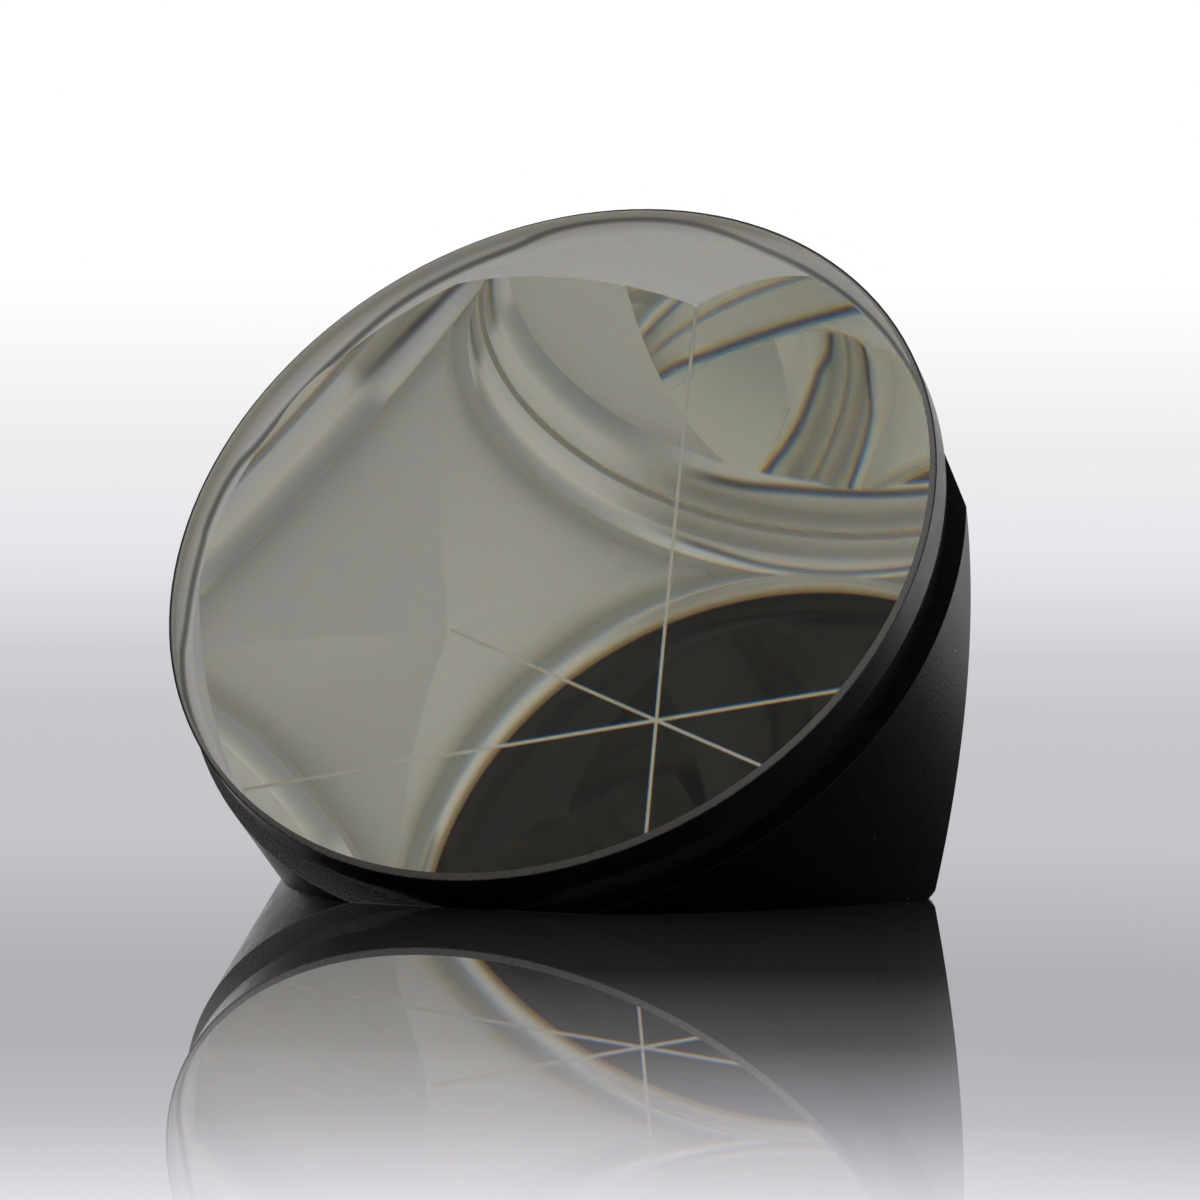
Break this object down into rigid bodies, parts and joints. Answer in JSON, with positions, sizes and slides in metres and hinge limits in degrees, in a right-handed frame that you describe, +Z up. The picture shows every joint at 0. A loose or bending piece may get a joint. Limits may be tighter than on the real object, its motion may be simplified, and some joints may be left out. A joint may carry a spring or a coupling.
{
  "type": "corner cube prism",
  "caption": "Solid glass corner cube prism with a round entrance face, silvered facets and black painted walls; it returns light towards its source.",
  "frame": {"origin": "on the resting facet, straight below the centre of the entrance face", "axes": "+Z up while the prism lies on one facet; the entrance face looks towards -Y, 35.26 degrees above the horizon; +X is to the right as seen from in front"},
  "size_m": [0.0508, 0.0457, 0.0426],
  "materials": {
    "optical_glass": "polished entrance face and facets, fine ground walls and bevels",
    "wall_paint": "satin black paint brushed on the ground wall",
    "silver_film": "chemically deposited mirror film",
    "copper_film": "matte electroplated copper",
    "facet_paint": "satin black paint on the plated facet"
  },
  "bodies": {
    "root": {"prism_glass": "optical_glass", "rim_paint": "wall_paint", "flap_paint_top": "wall_paint", "flap_paint_left": "wall_paint", "flap_paint_right": "wall_paint", "silver_base": "silver_film", "silver_left": "silver_film", "silver_right": "silver_film", "copper_base": "copper_film", "copper_left": "copper_film", "copper_right": "copper_film", "facet_paint_base": "facet_paint", "facet_paint_left": "facet_paint", "facet_paint_right": "facet_paint"}
  },
  "joints": []
}
